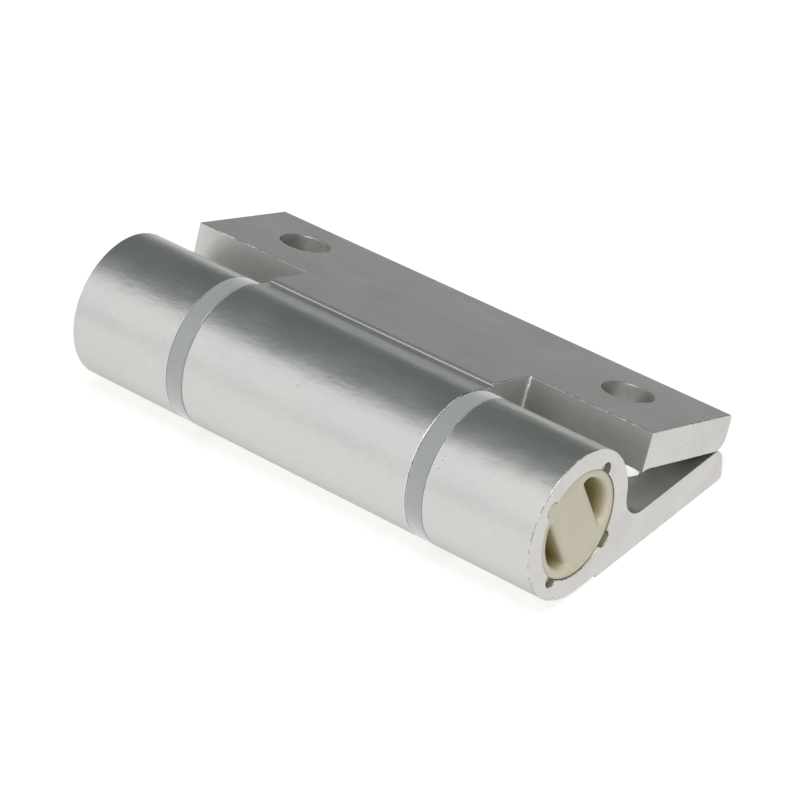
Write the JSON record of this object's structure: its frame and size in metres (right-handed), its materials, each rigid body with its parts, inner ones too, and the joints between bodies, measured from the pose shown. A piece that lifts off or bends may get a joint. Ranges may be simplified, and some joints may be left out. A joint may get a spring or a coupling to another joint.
{
  "type": "spring hinge",
  "caption": "Self-closing sprung butt hinge of extruded aluminium: two leaves, a thick barrel with bushes between its knuckles, springs inside and plastic end caps.",
  "frame": {"origin": "middle of the fixed leaf's two holes, on its mounting face", "axes": "+X along the barrel, +Y from the barrel to the leaf tips, +Z out of the fixed leaf's mounting surface, through the leaf"},
  "size_m": [0.096, 0.0539, 0.0262],
  "materials": {
    "leaf_aluminium": "satin anodised",
    "bush_acetal": "smooth moulded",
    "journal_nylon": "smooth moulded",
    "cap_nylon": "smooth moulded",
    "spring_steel": "drawn wire",
    "pin_steel": "ground"
  },
  "bodies": {
    "fixed": {"fixed_leaf": "leaf_aluminium", "left_journal": "journal_nylon", "right_journal": "journal_nylon", "left_end_cap": "cap_nylon", "right_end_cap": "cap_nylon", "left_spring": "spring_steel", "right_spring": "spring_steel"},
    "moving": {"moving_leaf": "leaf_aluminium", "left_bush": "bush_acetal", "right_bush": "bush_acetal", "spring_anchor": "journal_nylon", "pivot_pin": "pin_steel", "left_pin_clip": "spring_steel", "right_pin_clip": "spring_steel"}
  },
  "joints": [
    {"name": "hinge", "type": "hinge", "parent": "fixed", "child": "moving", "pos_m": [0, -0.0277, 0.0134], "axis": [1, 0, 0], "range_deg": [0, 201.24], "stiffness_Nm_per_rad": 0.56, "springref_deg": -90, "deforming": ["left_spring", "right_spring"]}
  ]
}
